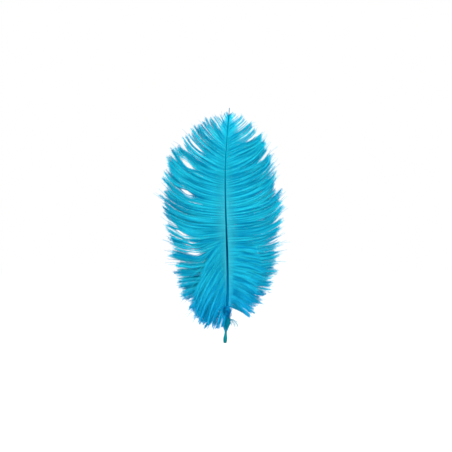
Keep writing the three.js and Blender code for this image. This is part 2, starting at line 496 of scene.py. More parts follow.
@dataclass
class Sheaf:
    """Collects closed triangle shells, each point with its place on the piece's map."""

    points: list[np.ndarray] = field(default_factory=list)
    places: list[np.ndarray] = field(default_factory=list)
    faces: list[np.ndarray] = field(default_factory=list)
    count: int = 0

    def add(self, points: np.ndarray, places: np.ndarray, faces: np.ndarray) -> None:
        """Adds many copies of one shell.

        Args:
            points: shape (copies, points per copy, 3).
            places: map places, shape (copies, points per copy, 2).
            faces: one copy's triangles, shape (triangles, 3).
        """
        copies, size = points.shape[:2]
        starts = self.count + np.arange(copies) * size
        self.points.append(points.reshape(-1, 3))
        self.places.append(places.reshape(-1, 2))
        self.faces.append((starts[:, None, None] + faces[None]).reshape(-1, 3))
        self.count += copies * size

    def piece(self, name: str, node: str, finish: Finish,
              material: bpy.types.Material) -> bpy.types.Object:
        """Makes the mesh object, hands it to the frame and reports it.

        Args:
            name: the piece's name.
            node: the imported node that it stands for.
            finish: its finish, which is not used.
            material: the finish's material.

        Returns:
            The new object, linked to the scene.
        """
        points = np.concatenate(self.points).astype(np.float32)
        faces = np.concatenate(self.faces).astype(np.int32)
        places = np.concatenate(self.places).astype(np.float32)
        mesh = bpy.data.meshes.new(name)
        mesh.vertices.add(len(points))
        mesh.vertices.foreach_set("co", points.ravel())
        mesh.loops.add(faces.size)
        mesh.loops.foreach_set("vertex_index", faces.ravel())
        mesh.polygons.add(len(faces))
        mesh.polygons.foreach_set("loop_start", np.arange(0, faces.size, 3, dtype=np.int32))
        mesh.polygons.foreach_set("use_smooth", np.ones(len(faces), bool))
        mesh.update(calc_edges=True)
        uv_map = mesh.uv_layers.new(name=MAP_NAME)
        uv_map.uv.foreach_set("vector", places[faces.ravel()].ravel())
        mesh.materials.append(material)
        piece = bpy.data.objects.new(name, mesh)
        bpy.context.scene.collection.objects.link(piece)
        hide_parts(node)
        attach(piece, BODY)
        LOG.info("%s: %d faces", piece.name, len(faces))
        return piece


def tube_faces(rings: int, sides: int) -> np.ndarray:
    """Triangles of a closed tube whose points run ring by ring, outward faces.

    Args:
        rings: how many rings it has.
        sides: how many points each ring has.

    Returns:
        The triangles, shape (triangles, 3).
    """
    faces = []
    for ring in range(rings - 1):
        for side in range(sides):
            here = ring * sides + side
            beside = ring * sides + (side + 1) % sides
            faces += [(here, beside, beside + sides), (here, beside + sides, here + sides)]
    last = (rings - 1) * sides
    for side in range(1, sides - 1):
        faces += [(0, side + 1, side), (last, last + side, last + side + 1)]
    return np.array(faces)


NEEDLE_FACES = np.array([(0, 2, 1), (0, 1, 3), (1, 2, 3), (2, 0, 3)])
TRIANGLE_TURNS = np.radians([0.0, 120.0, 240.0])
CORNER_SHARE = 0.577  # How far a triangle's corners are from its middle, as a share of its side.
MAP_SPAN = 0.97  # How much of the map's width a barb takes up.
MAP_NUDGE = 0.006  # How far apart a shell's corners are along the map, so that no face is a line.
MAP_BAND = 0.3  # Half of a shell's width across the map, as a share of the room for its barb.


def unit(vectors: np.ndarray) -> np.ndarray:
    """Vectors made one long."""
    return vectors / np.maximum(np.linalg.norm(vectors, axis=-1, keepdims=True), 1e-12)


def smoothstep(value: np.ndarray, low: float = 0.0, high: float = 1.0) -> np.ndarray:
    """A smooth rise from 0 at low to 1 at high."""
    share = np.clip((value - low) / (high - low), 0.0, 1.0)
    return share * share * (3.0 - 2.0 * share)


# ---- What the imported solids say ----


def welded(node: str) -> tuple[np.ndarray, list[set[int]]]:
    """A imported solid's points, each once, and which of them share an edge.

    Args:
        node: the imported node's name.

    Returns:
        The points, and for each the indices of its neighbours.
    """
    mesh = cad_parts[node].data
    raw = np.empty(len(mesh.vertices) * 3, np.float32)
    mesh.vertices.foreach_get("co", raw)
    raw = raw.reshape(-1, 3).astype(float)
    _, first, index = np.unique(np.round(raw / WELD).astype(int), axis=0,
                                return_index=True, return_inverse=True)
    near: list[set[int]] = [set() for _ in first]
    corners = index.ravel()
    for edge in mesh.edges:
        start, end = (int(corners[corner]) for corner in edge.vertices)
        if start != end:
            near[start].add(end)
            near[end].add(start)
    return raw[first], near


def spreading(near: list[set[int]], start: int) -> list[list[int]]:
    """Walks out along the edges from one point.

    Args:
        near: each point's neighbours.
        start: the point.

    Returns:
        The points met at each step.
    """
    seen, levels = {start}, [[start]]
    while levels[-1]:
        found = {other for point in levels[-1] for other in near[point]} - seen
        seen |= found
        levels.append(sorted(found))
    return levels[:-1]


def middle_line(node: str) -> np.ndarray:
    """The middle of a lock's solid, ring by ring, from its root to its tip.

    Args:
        node: the lock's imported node.

    Returns:
        Points, shape (rings, 3).
    """
    points, near = welded(node)
    for start in range(len(points)):
        levels = spreading(near, start)
        sizes = [len(level) for level in levels]
        if sizes[-1] == 1 and len(sizes) > 3 and len(set(sizes[1:-1])) == 1:
            line = np.array([points[level].mean(0) for level in levels[1:-1]])
            inward = abs(line[0, 0]) < abs(line[-1, 0])
            return line if inward else line[::-1]
    raise ValueError(f"{node} isn't a plain run of rings")


@dataclass
class ShaftLine:
    """The centre and radius of the quill or shaft at each height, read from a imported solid.

    A level that is narrower than its neighbours by more than bore_dip belongs to the bore alone.
    A level of the skin has at least least_points, and level_height tells two levels apart.
    """

    node: str
    bore_dip: float = 0.12 * MM
    level_height: float = 0.02 * MM
    least_points: int = 8
    heights: np.ndarray = field(init=False)
    centres: np.ndarray = field(init=False)
    radii: np.ndarray = field(init=False)

    def __post_init__(self) -> None:
        """Reads the solid level by level."""
        points, _ = welded(self.node)
        levels = np.round(points[:, 2] / self.level_height).astype(int)
        heights, centres, radii = [], [], []
        for level in np.unique(levels):
            ring = points[levels == level]
            if len(ring) < self.least_points:
                continue
            centre = (ring.min(0) + ring.max(0)) / 2
            heights.append(ring[:, 2].mean())
            centres.append(centre[:2])
            radii.append(np.linalg.norm(ring[:, :2] - centre[:2], axis=1).max())
        self.heights, self.radii = np.array(heights), np.array(radii)
        self.centres = np.array(centres)
        self._keep_skin()

    def _keep_skin(self) -> None:
        """Drops the levels that only the bore has, which are narrower than their neighbours."""
        while True:
            dip = 0.5 * (self.radii[:-2] + self.radii[2:]) - self.radii[1:-1]
            kept = np.concatenate([[True], dip < self.bore_dip, [True]])
            if kept.all():
                return
            self.heights, self.radii = self.heights[kept], self.radii[kept]
            self.centres = self.centres[kept]

    def centre(self, height: np.ndarray) -> np.ndarray:
        """Centre points at some heights.

        Args:
            height: the heights, in any shape.

        Returns:
            The points, with one more axis of 3.
        """
        height = np.asarray(height, float)
        across = [np.interp(height, self.heights, self.centres[:, axis]) for axis in (0, 1)]
        return np.stack([*across, height], axis=-1)

    def radius(self, height: np.ndarray) -> np.ndarray:
        """Outer radii at some heights."""
        return np.interp(height, self.heights, self.radii)


def carried_on(rows: np.ndarray) -> np.ndarray:
    """Rows with one more at each end, in a straight line."""
    return np.concatenate([[2 * rows[0] - rows[1]], rows, [2 * rows[-1] - rows[-2]]])


def catmull_weights(share: np.ndarray) -> np.ndarray:
    """Weights of a smooth curve through four rows.

    Args:
        share: how far between the middle two rows each place is.

    Returns:
        The rows' weights, with one more axis of 4.
    """
    square, cube = share * share, share ** 3
    return 0.5 * np.stack([-cube + 2 * square - share, 3 * cube - 5 * square + 2,
                           -3 * cube + 4 * square + share, cube - square], axis=-1)


@dataclass
class BarbField:
    """The lie of all the barbs that one row of locks stands for.

    Each lock's middle line is drawn out to as many points as fineness says. table holds them lock
    by lock, with one more lock carried on at each end of the row.
    """

    nodes: list[str]
    fineness: int = 65
    table: np.ndarray = field(init=False)

    def __post_init__(self) -> None:
        """Reads each lock's middle line, and evens out the locks' layers into one sheet."""
        lines = [middle_line(node) for node in self.nodes]
        at = np.linspace(0, len(lines[0]) - 1, self.fineness)
        cell = np.minimum(at.astype(int), len(lines[0]) - 2)
        weights = catmull_weights(at - cell)
        fine = []
        for line in lines:
            rows = carried_on(line)
            around = np.stack([rows[cell + step] for step in range(4)], axis=1)
            fine.append((around * weights[:, :, None]).sum(1))
        rows = carried_on(np.array(fine))
        rows[1:-1, :, 1] = 0.25 * (rows[:-2, :, 1] + rows[2:, :, 1]) + 0.5 * rows[1:-1, :, 1]
        self.table = rows

    def length(self, lock: int) -> float:
        """How long a lock's middle line is."""
        return float(np.linalg.norm(np.diff(self.table[lock + 1], axis=0), axis=1).sum())

    def at(self, place: np.ndarray, out: np.ndarray) -> np.ndarray:
        """Points of the field.

        Args:
            place: places across the row, 0 on the first lock and 1 on the next.
            out: shares of the way from root to tip, carried on in a line past both.

        Returns:
            Points, with one more axis of 3.
        """
        last = len(self.nodes) - 1
        held = np.clip(place, 0, last)
        cell = np.minimum(held.astype(int), last - 1)
        weights = catmull_weights(held - cell)
        step = out * (self.fineness - 1)
        low = np.clip(step.astype(int), 0, self.fineness - 2)
        share = (step - low)[..., None]

        def row(index: np.ndarray) -> np.ndarray:
            """The field along one fine step.

            Args:
                index: the step at each place.

            Returns:
                The points.
            """
            around = np.stack([self.table[cell + lock, index] for lock in range(4)], axis=-2)
            here = (around * weights[..., None]).sum(-2)
            over = (place - held)[..., None]
            slope = np.where(over < 0, self.table[1, index] - self.table[0, index],
                             self.table[-1, index] - self.table[-2, index])
            return here + over * slope

        first, second = row(low), row(low + 1)
        return first + (second - first) * share


# ---- Barbs ----


@dataclass(frozen=True)
class BarbuleHabit:
    """How barbules stand on a barb, one each spacing on either side.

    lengths are given at stations along the barb, from 0 at its root to 1 at its tip, and length_range
    is how they vary. lean is the angle from the barb at lean_stations, and the spreads are in
    degrees: lean_spread in the vane's plane and roll_spread out of it. Barbules lie flatter near
    the root, by flat_share, up to flat_end. width is a barbule's, at the barb's root and its tip.
    """

    spacing: float = 0.4 * MM
    lengths: tuple[float, ...] = (2.3 * MM, 3.1 * MM, 4.3 * MM, 5.0 * MM, 5.2 * MM, 2.6 * MM)
    stations: tuple[float, ...] = (0.0, 0.08, 0.3, 0.7, 0.9, 1.0)
    length_range: tuple[float, float] = (0.55, 1.25)
    lean: tuple[float, float, float] = (88.0, 54.0, 30.0)
    lean_stations: tuple[float, float, float] = (0.0, 0.08, 1.0)
    lean_spread: float = 13.0
    roll_spread: float = 38.0
    flat_share: float = 0.25
    flat_end: float = 0.2
    width: tuple[float, float] = (0.34 * MM, 0.21 * MM)


@dataclass(frozen=True)
class LockStyle:
    """How one lock differs from its neighbours.

    gather is how far its barbs draw together towards the tip, and drift moves the place they draw
    to along the row. clump draws each small bundle of barbs together, and points does so at their
    tips. spread is how many locks' worth of the row it takes up, skew shifts it along the row, and
    lift shifts its roots only. reach scales its length, and slant makes its upper barbs longer
    than its lower ones. fluff scales the barbules, and scatter scales how far the barbs stray. seat
    is how far their roots are drawn in to the shaft's depth, from 0 to 1, and sink sets the rest
    back. strays is the share of barbs that are long, bare and loose.
    """

    gather: float = 0.0
    drift: float = 0.0
    clump: float = 0.3
    points: float = 0.4
    spread: float = 1.25
    skew: float = 0.0
    lift: float = 0.0
    slant: float = 0.1
    reach: float = 1.03
    fluff: float = 1.0
    scatter: float = 1.0
    seat: float = 0.0
    sink: float = 0.0
    strays: float = 0.09


@dataclass(frozen=True)
class Parting:
    """A gap between the barbs of a row.

    place is where it is across the row, counted in locks from 1, and out where its middle is along
    the barbs. length is half its length, as a share of the barbs', and width half its width.
    Its place moves by lean locks over the barbs' whole length. reach is how far to each side, in
    locks, barbs make way for it, and bare_reach how far they lose their barbules, which they do
    fully in a gap as wide as full_width.
    """

    place: float
    out: float
    length: float
    width: float
    lean: float = 0.0
    reach: float = 0.5
    bare_reach: float = 0.3
    full_width: float = 2.5 * MM

    def push(self, across: np.ndarray, out: np.ndarray) -> tuple[np.ndarray, np.ndarray]:
        """How the gap changes the barbs beside it.

        Args:
            across: the barbs' places across the row, counted from 0, step by step.
            out: how far along the barbs each step is.

        Returns:
            How far each point is pushed up, and how close each is to the gap, from 0 to 1.
        """
        offset = across - (self.place - 1.0) - self.lean * (out - self.out)
        middle = np.abs(out - self.out).argmin(axis=1)
        side = np.sign(offset[np.arange(len(offset)), middle])[:, None]
        bump = np.exp(-((out - self.out) / self.length) ** 2)
        pushed = side * self.width * np.exp(-np.abs(offset) / self.reach) * bump
        bared = min(self.width / self.full_width, 1.0) * np.minimum(1.6 * bump, 1.0)
        return pushed, np.exp(-(offset / self.bare_reach) ** 2) * bared


@dataclass(frozen=True)
class BarbHabit:
    """How the barbs of one lock vary.

    The first three pairs are lengths as shares of the lock's, for a bundle, a barb in it and a
    stray. The next ones are where along the barbs, from 0 at the root to 1 at the tip, a change
    starts and ends: bundles drawing together, tips pointing, lifted roots coming back, the lock
    gathering, barbules thinning, and layers parting in depth. Bends are the tips' usual distance
    from the lock's own lie, and are less in locks shorter than full_length.
    """

    bundle_length: tuple[float, float] = (0.92, 1.03)
    barb_length: tuple[float, float] = (0.9, 1.03)
    stray_length: tuple[float, float] = (1.03, 1.13)
    clumping: tuple[float, float] = (0.05, 0.5)
    pointing: tuple[float, float] = (0.72, 1.05)
    lifting: tuple[float, float] = (-0.1, 0.55)
    gathering: tuple[float, float] = (0.25, 1.1)
    thinning: tuple[float, float] = (0.25, 0.6)
    layering: tuple[float, float] = (0.0, 0.8)
    full_length: float = 60 * MM
    bundle_bend: float = 1.2 * MM
    barb_bend: float = 0.6 * MM
    stray_bend: float = 5.0 * MM
    wave_height: float = 0.3 * MM
    waves: float = 14.0
    fluff: tuple[float, float] = (0.85, 1.1)
    stray_fluff: float = 0.25
    bared: float = 0.8


@dataclass
class BarbGrower:
    """Grows barbs and their barbules into a sheaf.

    steps is how many points a barb has, and stem its thickness at the root and the tip.
    """

    habit: BarbuleHabit = BarbuleHabit()
    steps: int = 22
    stem: tuple[float, float] = (0.17 * MM, 0.045 * MM)

    def grow(self, sheaf: Sheaf, paths: np.ndarray, random: np.random.Generator,
             fluff: np.ndarray, breadth: float) -> None:
        """Adds barbs that follow the given paths.

        Args:
            sheaf: where the shells go.
            paths: shape (barbs, steps, 3), root first.
            random: the lock's own random numbers.
            fluff: the barbules' length at each point, as a share of the habit's lengths.
            breadth: how wide the lock is, negative where its barbs are laid the other way.
        """
        along = unit(np.gradient(paths, axis=1))
        across = unit(np.cross(along, FRONT))
        out = np.cross(across, along)
        rows = (np.arange(len(paths)) + 0.5) / len(paths)
        self._add_stems(sheaf, paths, across, out, rows)
        length = np.linalg.norm(np.diff(paths, axis=1), axis=2).sum(1)
        count = max(int(length.mean() / self.habit.spacing), 6)
        share = (np.arange(count) + random.uniform(0, 1, (len(paths), count))) / count
        share = 0.002 + 0.995 * share
        for hand in (-1.0, 1.0):
            run = (paths, along, across * hand, out, fluff[..., None])
            self._add_barbules(sheaf, run, share, length, rows, random, hand / breadth)

    def _add_stems(self, sheaf: Sheaf, paths: np.ndarray, across: np.ndarray, out: np.ndarray,
                   rows: np.ndarray) -> None:
        """Adds the stems of the barbs as tapering three-sided tubes.

        Args:
            sheaf: where the shells go.
            paths: shape (barbs, steps, 3), root first.
            across: directions aside, in the plane of the vane.
            out: directions out of it.
            rows: the barbs' places on the map.
        """
        share = np.linspace(0, 1, paths.shape[1])
        radius = np.interp(share, [0, 0.1, 1], [self.stem[0] * 1.25, self.stem[0], self.stem[1]])
        rings = [paths + radius[None, :, None] * (math.cos(turn) * across + math.sin(turn) * out)
                 for turn in -TRIANGLE_TURNS]
        points = np.stack(rings, axis=2).reshape(len(paths), -1, 3)
        shift = np.array([0.0, MAP_NUDGE, 0.0])
        band = np.array([-MAP_BAND, 0.0, MAP_BAND]) / len(paths)
        places = np.empty((len(paths), paths.shape[1], 3, 2))
        places[..., 0] = 0.01 + MAP_SPAN * share[None, :, None] + shift
        places[..., 1] = rows[:, None, None] + band
        sheaf.add(points, places.reshape(len(paths), -1, 2), tube_faces(paths.shape[1], 3))

    def _add_barbules(self, sheaf: Sheaf, run: tuple[np.ndarray, ...], share: np.ndarray,
                      length: np.ndarray, rows: np.ndarray, random: np.random.Generator,
                      per_metre: float) -> None:
        """Adds one row of barbules to every barb as slender closed needles.

        Args:
            sheaf: where the shells go.
            run: the barbs' points, directions, directions aside and outwards, and fluff.
            share: how far along its barb each barbule stands.
            length: the barbs' lengths.
            rows: the barbs' places on the map.
            random: the lock's own random numbers.
            per_metre: how far a metre aside is on the map.
        """
        habit = self.habit
        step = share * (run[0].shape[1] - 1)
        low = np.minimum(step.astype(int), run[0].shape[1] - 2)
        barb = np.arange(len(share))[:, None]
        rest = (step - low)[..., None]
        foot, along, across, out, fluff = (
            part[barb, low] + (part[barb, low + 1] - part[barb, low]) * rest for part in run)
        lean = np.radians(np.interp(share, habit.lean_stations, habit.lean)
                          + random.normal(0, habit.lean_spread, share.shape))[..., None]
        flat = habit.flat_share + (1 - habit.flat_share) * smoothstep(share, 0, habit.flat_end)
        roll = np.radians(random.normal(0, habit.roll_spread, share.shape) * flat)[..., None]
        way = along * np.cos(lean) + np.sin(lean) * (across * np.cos(roll) + out * np.sin(roll))
        reach = np.interp(share, habit.stations, habit.lengths) * fluff[..., 0]
        reach = reach * random.uniform(*habit.length_range, share.shape)
        half = np.interp(share, [0, 1], habit.width)[..., None] * CORNER_SHARE
        first = unit(np.cross(way, out + 0.1 * across))
        second = np.cross(way, first)
        base = [foot + half * (math.cos(turn) * first + math.sin(turn) * second)
                for turn in TRIANGLE_TURNS]
        points = np.stack([*base, foot + way * reach[..., None]], axis=2)
        band = 1.0 / len(rows)
        ahead = (reach * np.cos(lean[..., 0]) / length[:, None]).clip(0.01, 0.2)
        places = np.empty((*share.shape, 4, 2))
        nudge = np.array([0.0, MAP_NUDGE, 0.0, 0.0])
        places[..., 0] = 0.005 + MAP_SPAN * share[..., None] + nudge
        places[..., 3, 0] = np.minimum(places[..., 3, 0] + ahead, 0.998)
        corners = np.array([-MAP_BAND, 0.0, MAP_BAND, 0.08])
        places[..., 1] = rows[:, None, None] + band * corners
        aside = (reach * np.sin(lean[..., 0]) * np.cos(roll[..., 0])) * per_metre
        places[..., 3, 1] = (places[..., 3, 1] + aside).clip(0.001, 0.999)
        sheaf.add(points.reshape(-1, 4, 3), places.reshape(-1, 4, 2), NEEDLE_FACES)


@dataclass
class Vane:
    """One side's row of locks, or one side's row of front tufts.

    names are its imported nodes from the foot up, and styles holds the locks that differ from usual,
    counted from 1. barbs and bundles are the numbers in a lock. depth_spread is how far its layers
    part. root_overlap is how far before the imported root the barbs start, which takes them into the
    shaft's skin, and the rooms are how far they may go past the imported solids. Seated roots lie
    seat_depth behind the shaft's centre, and the barbs are back in their own layer at seat_end of
    their length.
    """

    side: Side
    names: list[str]
    shaft: ShaftLine
    finish: DyedDown
    styles: dict[int, LockStyle]
    partings: tuple[Parting, ...] = ()
    barbs: int = 46
    bundles: int = 8
    usual: LockStyle = LockStyle()
    habit: BarbHabit = BarbHabit()
    depth_spread: float = 1.7 * MM
    root_overlap: float = 0.6 * MM
    front_room: float = 5.0 * MM
    back_room: float = 6.0 * MM
    seat_end: float = 0.6
    seat_depth: float = 0.5 * MM
    seed: int = 1
    grower: BarbGrower = field(default_factory=BarbGrower)

    def build(self, material: bpy.types.Material) -> list[bpy.types.Object]:
        """Builds every lock of the row.

        Args:
            material: the finish that all its locks share.

        Returns:
            The pieces.
        """
        lie = BarbField(self.names)
        return [self._lock(lie, index, name, material) for index, name in enumerate(self.names)]

    def _lock(self, lie: BarbField, index: int, name: str,
              material: bpy.types.Material) -> bpy.types.Object:
        """Builds one lock.

        Args:
            lie: the field that its barbs follow.
            index: the lock's place in the row, from 0.
            name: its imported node.
            material: its material.

        Returns:
            The piece.
        """
        random = np.random.default_rng([self.seed, index])
        style = self.styles.get(index + 1, self.usual)
        paths, fluff = self._paths(lie, index, style, random)
        sheaf = Sheaf()
        pitch = abs(lie.table[-1, 0, 2] - lie.table[0, 0, 2]) / (len(self.names) + 1)
        breadth = -self.side.value * pitch * style.spread
        self.grower.grow(sheaf, paths, random, fluff, breadth)
        return sheaf.piece(f"{name}_barbs", name, self.finish, material)

    def _paths(self, lie: BarbField, index: int, style: LockStyle,
               random: np.random.Generator) -> tuple[np.ndarray, np.ndarray]:
        """Lays out the barbs of one lock.

        Args:
            lie: the field that they follow.
            index: the lock's place in the row, from 0.
            style: how the lock differs from its neighbours.
            random: the lock's own random numbers.

        Returns:
            Their paths, shape (barbs, steps, 3), and their fluff, shape (barbs, steps).
        """
        habit, count, groups = self.habit, self.barbs, self.bundles
        share = (np.arange(count) + random.uniform(0.1, 0.9, count)) / count
        bundle = np.minimum((share * groups).astype(int), groups - 1)
        parts = (np.arange(groups) + random.uniform(0.25, 0.75, groups)) / groups
        stretch = (random.uniform(*habit.bundle_length, groups)[bundle]
                   * random.uniform(*habit.barb_length, count))
        stretch *= 1.0 + style.slant * (share - 0.5)
        stray = random.random(count) < style.strays
        stretch = np.where(stray, random.uniform(*habit.stray_length, count), stretch)
        length = lie.length(index)
        start = -self.root_overlap / length
        steps = np.linspace(0, 1, self.grower.steps)[None, :]
        out = start + (style.reach * stretch[:, None] - start) * steps
        across = self._across(index, style, share, parts[bundle], out)
        paths = lie.at(across, out)
        upward = unit(np.cross(unit(np.gradient(paths, axis=1)), FRONT)) * -self.side.value
        scale = min(length / habit.full_length, 1.0)
        loose = scale * style.scatter
        bend = (random.normal(0, habit.bundle_bend, groups)[bundle]
                + random.normal(0, 1.0, count) * np.where(stray, habit.stray_bend,
                                                          habit.barb_bend))
        turns = random.uniform(0, 6, (count, 1)) + out * habit.waves
        wave = habit.wave_height * loose * np.sin(turns) * np.clip(out, 0, 1)
        rise = bend[:, None] * loose * out ** 2 + wave
        inner = random.uniform(*habit.fluff, count) * scale ** 0.8
        outer = inner * np.where(stray, habit.stray_fluff, style.fluff)
        fluff = inner[:, None] + (outer - inner)[:, None] * smoothstep(out, *habit.thinning)
        for parting in self.partings:
            pushed, close = parting.push(across, out)
            rise = rise + pushed * scale
            fluff = fluff * (1 - habit.bared * close)
        paths = paths + upward * rise[..., None]
        depth = (random.normal(0, self.depth_spread, groups)[bundle]
                 + random.normal(0, 0.7 * self.depth_spread, count))[:, None] * loose
        return self._set_depth(paths, out, style, depth), fluff

    def _across(self, index: int, style: LockStyle, share: np.ndarray, bundle: np.ndarray,
                out: np.ndarray) -> np.ndarray:
        """Works out where across the row each point of the barbs is.

        Args:
            index: the lock's place in the row, from 0.
            style: how the lock differs from its neighbours.
            share: each barb's place across the lock, from 0 to 1.
            bundle: the place of the middle of each barb's bundle.
            out: how far along the barbs each point is.

        Returns:
            The places, shape (barbs, steps).
        """
        habit = self.habit
        first = index + style.skew - 0.5 * style.spread
        place = (first + style.spread * share)[:, None]
        middle = (first + style.spread * bundle)[:, None]
        pointed = style.points * smoothstep(out, *habit.pointing)
        clumped = style.clump * smoothstep(out, *habit.clumping)
        clumped = clumped + (1 - clumped) * pointed
        across = place + (middle - place) * clumped
        across = across + style.lift * (1 - smoothstep(out, *habit.lifting))
        drawn = style.gather * smoothstep(out, *habit.gathering)
        return across + (index + style.drift - across) * drawn

    def _set_depth(self, paths: np.ndarray, out: np.ndarray, style: LockStyle,
                   depth: np.ndarray) -> np.ndarray:
        """Seats the roots at the shaft, and parts the barbs in depth.

        Args:
            paths: the barbs, shape (barbs, steps, 3).
            out: how far along the barbs each point is.
            style: how the lock differs from its neighbours.
            depth: how far each barb is to come forward.

        Returns:
            The paths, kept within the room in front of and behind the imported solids.
        """
        hold = style.seat * (1 - smoothstep(out, 0, self.seat_end))
        seat = self.shaft.centre(paths[..., 2])[..., 1] + self.seat_depth
        paths[..., 1] += (seat - paths[..., 1]) * hold
        ahead = (depth - style.sink) * smoothstep(out, *self.habit.layering)
        paths = paths + FRONT * ahead[..., None]
        paths[..., 1] = paths[..., 1].clip(CAD_BOX[0][1] - self.front_room,
                                           CAD_BOX[1][1] + self.back_room)
        return paths


# ---- Quill, shaft and matted down ----


@dataclass
class Horn:
    """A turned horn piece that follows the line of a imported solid.

    Its bore runs up hollow_share of its length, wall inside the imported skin, and opens at its foot
    with the radius mouth. groove is the depth of the groove down its back, as a share of its
    radius. girth scales its skin, and least is the skin's smallest radius.
    """

    name: str
    finish: DyedHorn
    sides: int = 20
    steps: int = 120
    wall: float = 0.4 * MM
    hollow_share: float = 0.9
    mouth: float = 0.6 * MM
    least_bore: float = 0.05 * MM
    groove: float = 0.0
    least: float = 0.0
    girth: float = 1.0

    def build(self) -> bpy.types.Object:
        """Builds the piece as one closed tube: down the bore, round the foot and up the skin.

        Returns:
            The piece.
        """
        line = ShaftLine(self.name)
        foot, top = line.heights[0], line.heights[-1]
        skin_heights = np.linspace(foot, top, self.steps)
        bore_top = foot + (top - foot) * self.hollow_share
        bore_heights = np.linspace(bore_top, foot, self.steps // 3)
        bore = np.maximum(line.radius(bore_heights) - self.wall, self.least_bore)
        bore[0] = 0.4 * self.least_bore
        bore[-1] = self.mouth
        heights = np.concatenate([bore_heights, skin_heights])
        skin = np.maximum(line.radius(skin_heights) * self.girth, self.least)
        turn = np.linspace(0, 2 * np.pi, self.sides, endpoint=False)
        behind = np.clip(np.sin(turn), 0, 1) ** 6
        grooved = self.groove * (np.arange(len(heights)) >= len(bore))
        radius = np.concatenate([bore, skin])[:, None] * (1 - grooved[:, None] * behind)
        centre = line.centre(heights)
        rings = np.stack([centre[:, None, 0] + radius * np.cos(turn),
                          centre[:, None, 1] + radius * np.sin(turn),
                          np.broadcast_to(heights[:, None], radius.shape)], axis=2)
        places = np.empty((*radius.shape, 2))
        places[..., 0] = np.linspace(0.01, 0.99, len(heights))[:, None]
        places[..., 1] = 0.02 + 0.96 * np.arange(self.sides) / self.sides
        sheaf = Sheaf()
        sheaf.add(rings.reshape(1, -1, 3), places.reshape(1, -1, 2),
                  tube_faces(len(heights), self.sides))
        return sheaf.piece(f"{self.name}_horn", self.name, self.finish, self.finish.make())


@dataclass
class MattedDown:
    """Tangled or combed down around the foot of the shaft, in the space of a packed ring.

    combed is 0 for strands wound at random and 1 for straight ones. swell grows the ring's box on
    every side, girth scales its reach from the shaft, and ahead brings it forward. The first few
    strands are loose hairs, as many as hairs says. loose_breadth is so wide that the barbules'
    places on the map stay with their strand. winding is how far round a strand goes, in radians,
    and core_gap the least gap to the shaft. The ranges vary where the strands start, how far out
    and how far down they go, as shares of the box.
    """

    node: str
    finish: DyedDown
    strands: int
    combed: float
    seed: int
    swell: float = 0.0
    girth: float = 1.0
    ahead: float = 0.0
    hairs: int = 0
    hair_reach: tuple[float, float] = (6.0 * MM, 15.0 * MM)
    fluff: float = 0.9
    loose_breadth: float = 1.0
    winding: float = 2.4
    top_range: float = 0.3
    wide_range: tuple[float, float] = (0.35, 1.0)
    foot_range: tuple[float, float] = (0.55, 1.0)
    core_gap: float = 0.15 * MM
    grower: BarbGrower = field(default_factory=lambda: BarbGrower(
        BarbuleHabit(spacing=0.5 * MM, lengths=(1.2 * MM, 1.8 * MM, 2.2 * MM, 2.0 * MM, 1.4 * MM,
                                                0.8 * MM), roll_spread=60.0),
        steps=14, stem=(0.2 * MM, 0.06 * MM)))

    def build(self, shaft: ShaftLine) -> bpy.types.Object:
        """Builds the matted piece.

        Args:
            shaft: the line it lies around.

        Returns:
            The piece.
        """
        random = np.random.default_rng(self.seed)
        low, high = (np.array(corner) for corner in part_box(self.node))
        paths = self._tangle(shaft, low, high, random)
        sheaf = Sheaf()
        fluff = np.full(paths.shape[:2], self.fluff)
        self.grower.grow(sheaf, paths, random, fluff, self.loose_breadth)
        return sheaf.piece(f"{self.node}_down", self.node, self.finish, self.finish.make())

    def _tangle(self, shaft: ShaftLine, low: np.ndarray, high: np.ndarray,
                random: np.random.Generator) -> np.ndarray:
        """Lays strands round the shaft, from fully tangled to combed straight down it.

        Args:
            shaft: the line they lie around.
            low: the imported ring's lowest corner.
            high: its highest corner.
            random: the piece's own random numbers.

        Returns:
            Their paths, shape (strands, steps, 3).
        """
        count, steps = self.strands, self.grower.steps
        share = np.linspace(0, 1, steps)[None, :]
        reach = (high[0] - low[0]) / 2
        low = low - (high - low) * self.swell
        high = high + (high - low) * self.swell
        top = high[2] - random.uniform(0, self.top_range, (count, 1)) * (high[2] - low[2])
        turn = random.uniform(0, 2 * np.pi, (count, 1))
        winding = random.normal(0, self.winding, (count, 1)) * (1 - self.combed)
        wide = random.uniform(*self.wide_range, (count, 1)) * reach * self.girth
        foot = random.uniform(*self.foot_range, (count, 1))
        height = top - share * foot * (high[2] - low[2])
        angle = turn + winding * share + 0.5 * np.sin(5 * share + turn) * (1 - self.combed)
        bulge = np.sin(np.pi * share ** (1 - 0.5 * self.combed)) ** 0.6
        core = shaft.radius(height) + self.core_gap
        radius = core + (wide - core).clip(0) * bulge
        centre = shaft.centre(height)
        paths = np.stack([centre[..., 0] + radius * np.cos(angle),
                          centre[..., 1] + radius * np.sin(angle) - self.ahead, height], axis=2)
        for hair in range(self.hairs):
            paths[hair] = self._hair(shaft.centre(np.array([height[hair, 3]])), random)
        return paths

    def _hair(self, start: np.ndarray, random: np.random.Generator) -> np.ndarray:
        """A loose hair that arches out to the right and hangs down.

        Args:
            start: the point it leaves the shaft from, shape (1, 3).
            random: the piece's own random numbers.

        Returns:
            Its path, shape (steps, 3).
        """
        share = np.linspace(0, 1, self.grower.steps)
        reach = random.uniform(*self.hair_reach)
        drop = random.uniform(0.3, 1.1) * reach
        across = reach * np.sin(0.5 * np.pi * share)
        depth = -random.uniform(0.0, 0.5) * across
        return start + np.stack([across, depth, -drop * share ** 1.6], axis=1)


# ---- Studio ----


